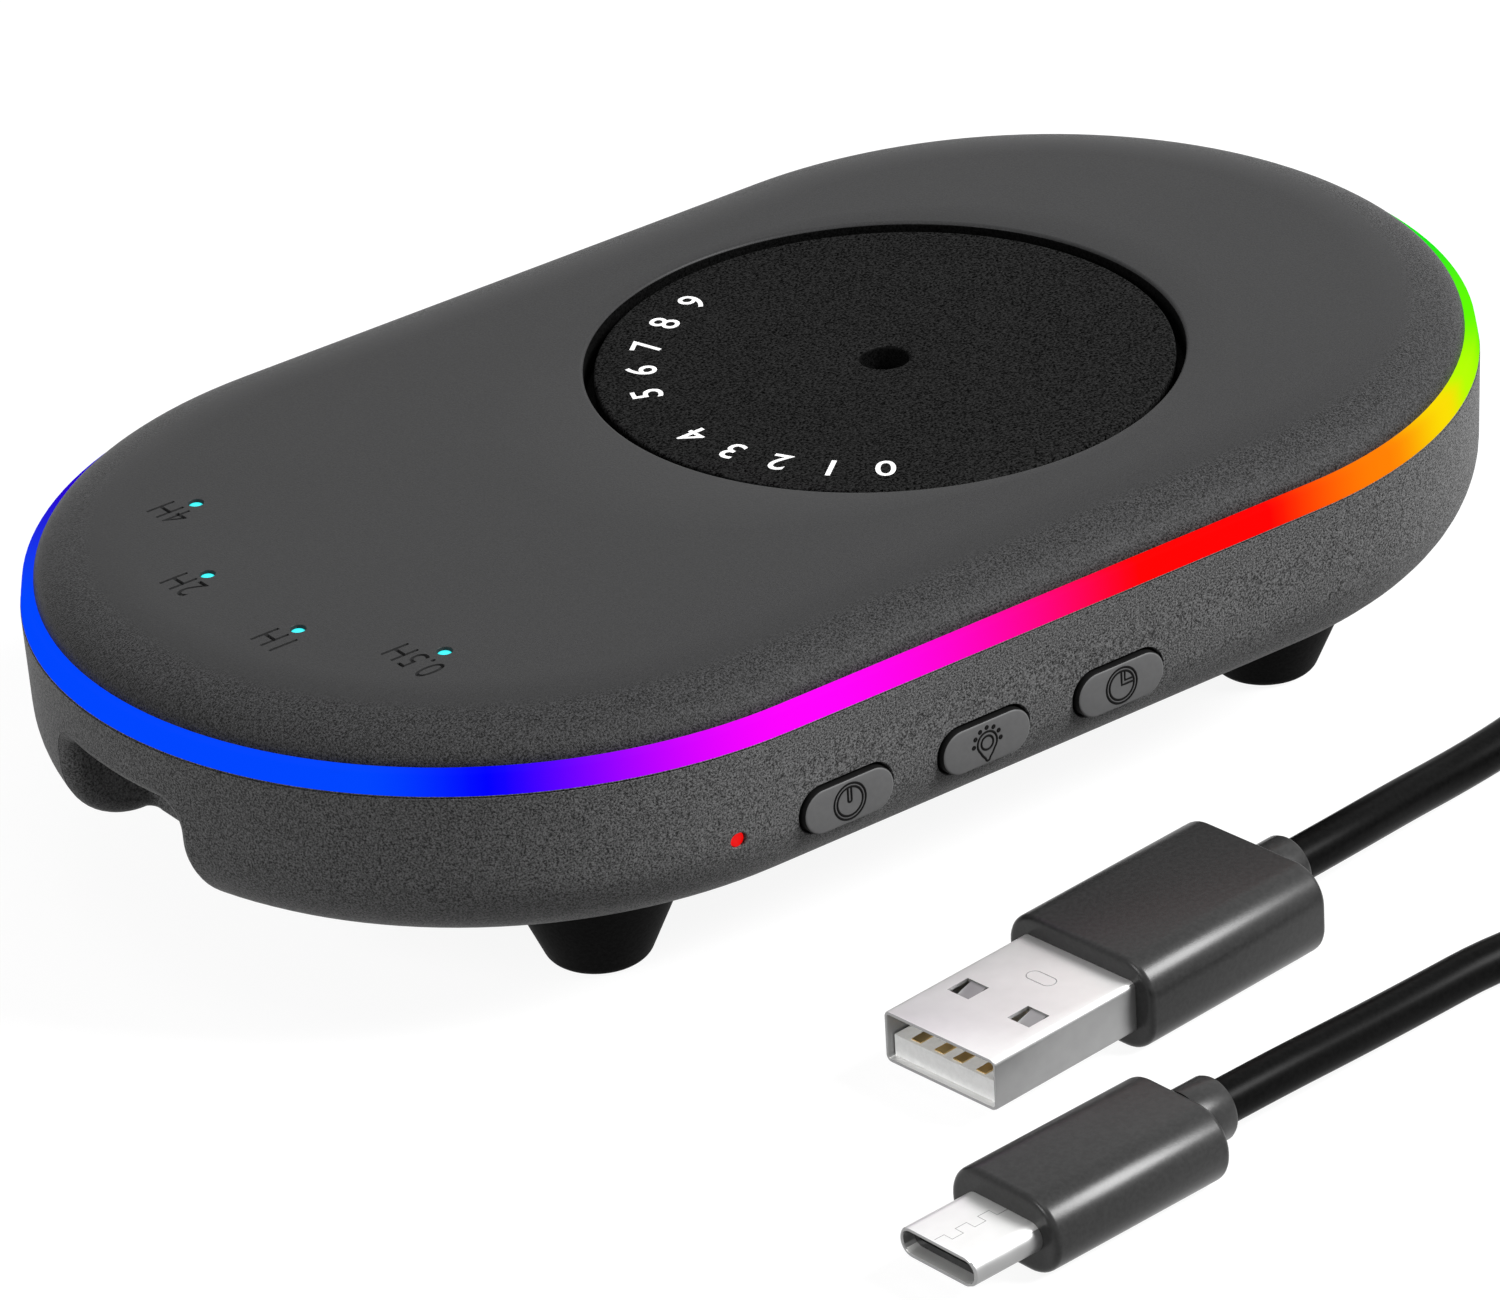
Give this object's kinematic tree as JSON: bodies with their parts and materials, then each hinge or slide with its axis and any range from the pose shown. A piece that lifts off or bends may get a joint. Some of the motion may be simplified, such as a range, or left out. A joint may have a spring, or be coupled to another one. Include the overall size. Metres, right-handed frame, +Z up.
{
  "type": "mouse jiggler",
  "caption": "Stadium-shaped desk gadget whose motor-driven turntable moves the pointer of the mouse standing on it, with a light ring, push buttons and a detachable USB cable.",
  "frame": {"origin": "middle of the case footprint, on the surface that the feet stand on", "axes": "+X along the long axis towards the turntable end, +Y away from the button side, +Z up"},
  "size_m": [0.1626, 0.137, 0.029],
  "materials": {
    "switch_black": "plain",
    "plunger_white": "plain",
    "screw_steel": "plain",
    "case_black": "fine texture",
    "cable_black": "satin",
    "tie_black": "plain",
    "foot_rubber": "matt",
    "gear_white": "plain",
    "steel": "plain",
    "board_green": "solder mask",
    "strip_white": "plain",
    "button_grey": "smooth",
    "light_pipe": "clear",
    "light_ring": "translucent, satin",
    "wire_red": "plain",
    "plug_metal": "bright nickel",
    "plug_core": "plain",
    "capacitor": "plain",
    "status_red": "clear",
    "bush_brass": "plain",
    "disc_black": "fine texture"
  },
  "bodies": {
    "case": {"board_chips": "switch_black", "board_connectors": "plunger_white", "board_screws": "screw_steel", "bottom_shell": "case_black", "cable_coil": "cable_black", "cable_tie": "tie_black", "cable_to_usb_a": "cable_black", "cable_to_usb_c": "cable_black", "case_screws": "screw_steel", "foot_back_left": "foot_rubber", "foot_back_right": "foot_rubber", "foot_front_left": "foot_rubber", "foot_front_right": "foot_rubber", "idler_pin": "steel", "indicator_board": "board_green", "indicator_ribbon": "strip_white", "led_strip": "strip_white", "light_pipe_1": "light_pipe", "light_pipe_2": "light_pipe", "light_pipe_4": "light_pipe", "light_pipe_half": "light_pipe", "light_ring": "light_ring", "light_switch": "switch_black", "main_board": "board_green", "motor_can": "steel", "motor_clamp": "steel", "motor_leads": "wire_red", "motor_screws": "screw_steel", "power_socket": "plug_metal", "power_socket_tongue": "plug_core", "power_switch": "switch_black", "rgb_leds": "plunger_white", "smoothing_capacitor": "capacitor", "status_led": "status_red", "strip_tail": "strip_white", "timer_leds": "plunger_white", "timer_switch": "switch_black", "top_shell": "case_black", "turntable_bush": "bush_brass", "usb_a_grip": "cable_black", "usb_a_shell": "plug_metal", "usb_a_tongue": "plunger_white", "usb_c_core": "plug_core", "usb_c_grip": "cable_black", "usb_c_shell": "plug_metal"},
    "turntable": {"turntable_disc": "disc_black", "turntable_gear": "gear_white", "turntable_spindle": "steel", "turntable_screw": "screw_steel"},
    "idler": {"idler_gear": "gear_white"},
    "motor_rotor": {"motor_shaft": "steel", "motor_pinion": "gear_white"},
    "power_button_body": {"power_button": "button_grey", "power_plunger": "plunger_white"},
    "light_button_body": {"light_button": "button_grey", "light_plunger": "plunger_white"},
    "timer_button_body": {"timer_button": "button_grey", "timer_plunger": "plunger_white"}
  },
  "joints": [
    {"name": "turntable_spin", "type": "hinge", "parent": "case", "child": "turntable", "pos_m": [0.01297, 0, 0.0285], "axis": [0, 0, 1], "continuous": true},
    {"name": "idler_spin", "type": "hinge", "parent": "case", "child": "idler", "pos_m": [-0.00392, 0.00975, 0.02], "axis": [0, 0, 1], "continuous": true},
    {"name": "motor_spin", "type": "hinge", "parent": "case", "child": "motor_rotor", "pos_m": [-0.01696, 0.01324, 0.018], "axis": [0, 0, 1], "continuous": true},
    {"name": "power_press", "type": "slide", "parent": "case", "child": "power_button_body", "axis": [0, 1, 0], "range_m": [0, 0.0005], "stiffness_N_per_m": 2000, "springref_m": -0.0004},
    {"name": "light_press", "type": "slide", "parent": "case", "child": "light_button_body", "axis": [0, 1, 0], "range_m": [0, 0.0005], "stiffness_N_per_m": 2000, "springref_m": -0.0004},
    {"name": "timer_press", "type": "slide", "parent": "case", "child": "timer_button_body", "axis": [0, 1, 0], "range_m": [0, 0.0005], "stiffness_N_per_m": 2000, "springref_m": -0.0004}
  ],
  "couplings": [
    {"joint": "idler_spin", "follows": "turntable_spin", "ratio": -3.3333},
    {"joint": "motor_spin", "follows": "turntable_spin", "ratio": 6.6667}
  ]
}
